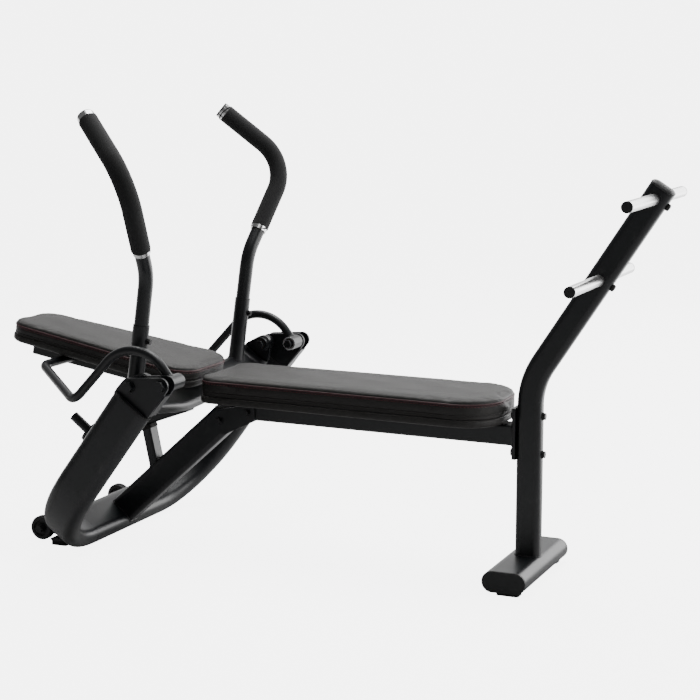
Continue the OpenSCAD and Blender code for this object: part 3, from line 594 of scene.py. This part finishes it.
# ---- Pads ----
# Each pad is foam glued to its board and covered in black leatherette: a crowned top panel sewn to
# a side band with red thread over a thin red piping, a plain welt lower down, and a folded hem.
leather, tree, shader, join = named_material("black_leatherette")
grain = placed_group(tree, pebble, Cell_size=620, Crease=0.22)
hue = placed_group(tree, orange_peel, Peel_size=70, Cloud_size=7)
skin_tone = blended(tree, join, hue.outputs["Cloud"], (0.0140, 0.0122, 0.0100), (0.0175, 0.0155, 0.0130))
# the grain's creases are painted darker, a painted shade
join(blended(tree, join, grain.outputs["Creases"], skin_tone, (0.006, 0.0057, 0.0054)),
     shader.inputs["Base Color"])
join(ranged(tree, join, hue.outputs["Cloud"], 0.42, 0.56), shader.inputs["Roughness"])
bumped(tree, join, grain.outputs["Grain"], shader, 0.00022)

piping_red, tree, shader, join = named_material("red_leatherette_piping")
grain = placed_group(tree, pebble, Cell_size=900, Crease=0.25)
# the grain's creases are painted darker, a painted shade
join(blended(tree, join, grain.outputs["Creases"], (0.060, 0.008, 0.012), (0.022, 0.004, 0.006)),
     shader.inputs["Base Color"])
shader.inputs["Roughness"].default_value = 0.5
bumped(tree, join, grain.outputs["Grain"], shader, 0.0001)

thread_red, tree, shader, join = named_material("red_sewing_thread")
place = tree.nodes.new("ShaderNodeTexCoord")
ply_twist = tree.nodes.new("ShaderNodeTexWave")
ply_twist.inputs["Scale"].default_value = 420
ply_twist.bands_direction = "DIAGONAL"
join(place.outputs["Object"], ply_twist.inputs["Vector"])
join(blended(tree, join, ply_twist.outputs["Fac"], (0.085, 0.009, 0.014), (0.17, 0.016, 0.026)),
     shader.inputs["Base Color"])
shader.inputs["Roughness"].default_value = 0.62
shader.inputs["Sheen Weight"].default_value = 0.3
bumped(tree, join, ply_twist.outputs["Fac"], shader, 0.0002)


def sewn_pad(name, body, to_place, outline, side, thick, crown, seam_z, welt_z, swell):
    """Builds one pad with its piping, welt, stitches and hem, and returns the padded cover.
    side is how far the cover wraps down round its board; swell is how far the foam may push."""
    x0, x1, w0, w1, r0, r1 = outline
    rim = rounded_rim(*outline)
    spine_half = min(w0, w1) / 2
    spine = [Vector((min(max(p.x, x0 + spine_half), x1 - spine_half), 0, 0)) for p, _ in rim]
    # (share of the way to the spine, inset, height) from under the pad, up the side band and over the top
    section = [(1, 0, 0.004), (0.5, 0, 0.002), (0.12, 0, 0), (0, 0.003, 0.001), (0, 0.001, 0.005),
               (0, 0.001, welt_z), (0, 0.001, seam_z - 0.003), (0, 0.001, seam_z + 0.002),
               (0, 0.003, thick - 0.0025), (0.03, 0.002, thick),
               (0.08, 0, thick + 0.25 * crown), (0.3, 0, thick + 0.5 * crown), (0.6, 0, thick + 0.8 * crown),
               (1, 0, thick + crown)]
    rings = [[(p - inset * way).lerp(middle, share) + Vector((0, 0, z))
              for (p, way), middle in zip(rim, spine)] for share, inset, z in section]
    cover = bpy.data.objects.new(name, lofted(name, rings))
    bpy.context.scene.collection.objects.link(cover)
    bpy.context.view_layer.objects.active = cover
    remesh = cover.modifiers.new("even_mesh", "REMESH")
    remesh.mode = "VOXEL"
    remesh.voxel_size = 0.0042
    soften = cover.modifiers.new("soften", "SMOOTH")
    soften.iterations = 2
    bpy.ops.object.modifier_apply(modifier="even_mesh")
    bpy.ops.object.modifier_apply(modifier="soften")
    cut = [v.co.copy() for v in cover.data.vertices]
    cloth = cover.modifiers.new("stuffing", "CLOTH")
    cloth.settings.quality = 5
    cloth.settings.mass = 0.4
    cloth.settings.tension_stiffness = cloth.settings.compression_stiffness = 18
    cloth.settings.use_pressure = True
    cloth.settings.uniform_pressure_force = 4
    cloth.settings.effector_weights.gravity = 0
    cloth.point_cache.frame_start, cloth.point_cache.frame_end = 1, 20
    for step in range(1, 21):
        bpy.context.scene.frame_set(step)
    pushed = cover.evaluated_get(bpy.context.evaluated_depsgraph_get()).data
    puffed = [v.co.copy() for v in pushed.vertices]
    cover.modifiers.remove(cloth)
    bpy.context.scene.frame_set(1)
    for vertex, was, now in zip(cover.data.vertices, cut, puffed):
        push = now - was
        vertex.co = was + (push if push.length < swell else push.normalized() * swell)
    # the seam and the welt pull the cover in, with a pucker at every few stitches
    for vertex in cover.data.vertices:
        x, y, z = vertex.co
        edge = min(max(x, x0 + spine_half), x1 - spine_half)
        outward = Vector((x - edge, y, 0))
        if outward.length < 0.55 * spine_half:
            vertex.co.z = max(z, 0) if z < thick / 2 else z + 0.0006 * math.sin(31 * x + 3 * math.sin(23 * y))
            continue
        outward.normalize()
        pucker = 0.75 + 0.25 * math.sin(210 * x + 170 * y) * math.sin(63 * x - 41 * y)
        seam = math.exp(-((z - seam_z) / 0.0042) ** 2)
        welt = math.exp(-((z - welt_z) / 0.0035) ** 2)
        vertex.co -= outward * (0.0018 * seam * pucker + 0.0014 * welt)
        vertex.co.z = max(vertex.co.z, 0)
    cover.data.update()
    skin = BVHTree.FromObject(cover, bpy.context.evaluated_depsgraph_get())

    def on_skin(height, lift):
        """The cover's surface all round at one height, moved out by lift."""
        found = []
        for point, way in rim:
            hit, _, _, _ = skin.ray_cast(point + way * 0.05 + Vector((0, 0, height)), -way)
            found.append((hit or point + Vector((0, 0, height))) + way * lift)
        return [(found[k - 2] + found[k - 1] + found[k] * 2 + found[(k + 1) % len(found)]
                 + found[(k + 2) % len(found)]) / 6 for k in range(len(found))]

    smooth = cover.modifiers.new("fine_cover", "SUBSURF")
    smooth.levels = smooth.render_levels = 1
    bpy.ops.object.modifier_apply(modifier="fine_cover")
    piping = swept(name + "_piping", on_skin(seam_z, 0.0003), 0.0025, closed=True)
    welt = swept(name + "_welt", on_skin(welt_z, 0.0002), 0.0016, closed=True)
    stitch_line = on_skin(seam_z - 0.0044, 0.0003)
    lengths = [0.0]
    for a, b in zip(stitch_line, stitch_line[1:] + stitch_line[:1]):
        lengths.append(lengths[-1] + (b - a).length)
    stitches = bmesh.new()
    pitch, half = 0.0082, 0.0028
    for turn in range(int(lengths[-1] / pitch)):
        at = turn * pitch
        k = max(i for i in range(len(stitch_line)) if lengths[i] <= at)
        a, b = stitch_line[k], stitch_line[(k + 1) % len(stitch_line)]
        middle = a.lerp(b, (at - lengths[k]) / max(lengths[k + 1] - lengths[k], 1e-9))
        along = (b - a).normalized()
        out = along.cross(Vector((0, 0, 1))).normalized()
        up = out.cross(along)
        rows = []
        for t, size in ((-1, 0.25), (-0.8, 0.8), (0, 1.0), (0.8, 0.8), (1, 0.25)):
            centre = middle + along * half * t - out * 0.0004 * t * t
            rows.append([stitches.verts.new(centre + 0.0008 * size * (math.cos(a6) * out + math.sin(a6) * up))
                         for a6 in [math.pi / 3 * q for q in range(6)]])
        for low, high in zip(rows, rows[1:]):
            for q in range(6):
                stitches.faces.new((low[q], low[(q + 1) % 6], high[(q + 1) % 6], high[q]))
        stitches.faces.new(rows[0])
        stitches.faces.new(rows[-1])
    bmesh.ops.recalc_face_normals(stitches, faces=stitches.faces)
    stitch_mesh = bpy.data.meshes.new(name + "_stitches")
    stitches.to_mesh(stitch_mesh)
    stitches.free()
    # the hem is the cover folded round the board's edge, gathered into small pleats at the corners
    hem_rings = []
    for inset, z in ((0.012, 0.006), (0.003, 0.005), (0.0012, 0.002), (0.001, -side * 0.5),
                     (0.002, -side + 0.002), (0.005, -side - 0.0006), (0.010, -side - 0.0014),
                     (0.033, -side - 0.0012), (0.033, -side - 0.0001),
                     (0.0095, -side - 0.0001)):
        row = []
        for k, (point, way) in enumerate(rim):
            bend = 1 - abs(way.x) if abs(way.x) > 0.02 and abs(way.y) > 0.02 else 0
            pleat = 0.0007 * bend * math.sin(1.9 * k)
            row.append(point - way * (inset + pleat) + Vector((0, 0, z)))
        hem_rings.append(row)
    hem = lofted(name + "_hem", hem_rings, wrap=True)
    for mesh in (cover.data, piping, welt, stitch_mesh, hem):
        mesh.transform(to_place)
    for face in cover.data.polygons:
        face.use_smooth = True
    cover.data.materials.clear()
    cover.data.materials.append(leather)
    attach(cover, body)
    for mesh, material in ((piping, piping_red), (welt, leather), (stitch_mesh, thread_red), (hem, leather)):
        finished(mesh.name, mesh, material, body)
    return cover


def tilted(origin, degrees):
    """The place of a pad: its own origin in the frame, and its tilt about the pivot axis."""
    return Matrix.Translation(origin) @ Matrix.Rotation(math.radians(degrees), 4, "Y")


# the bench pad sits on the main beam; the back pad on the beam that lifts
bench_place = tilted((0.4954, 0, 0.369), 0.5) @ Matrix.Translation((0, 0, 0.016))
bench_cover = sewn_pad("bench_pad_cover", "frame", bench_place, (-0.784, -0.014, 0.248, 0.262, 0.040, 0.100),
                       side=0.012, thick=0.0505, crown=0.0025, seam_z=0.0405, welt_z=0.015, swell=0.0035)
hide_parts("bench_pad")
back_place = tilted((-0.3711, 0, 0.467), 9.6) @ Matrix.Translation((0, 0, -0.038))
back_cover = sewn_pad("back_pad_cover", "backrest", back_place, (-0.488, 0.066, 0.196, 0.262, 0.060, 0.070),
                      side=0.011, thick=0.0385, crown=0.002, seam_z=0.0295, welt_z=0.011, swell=0.003)
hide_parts("back_pad")
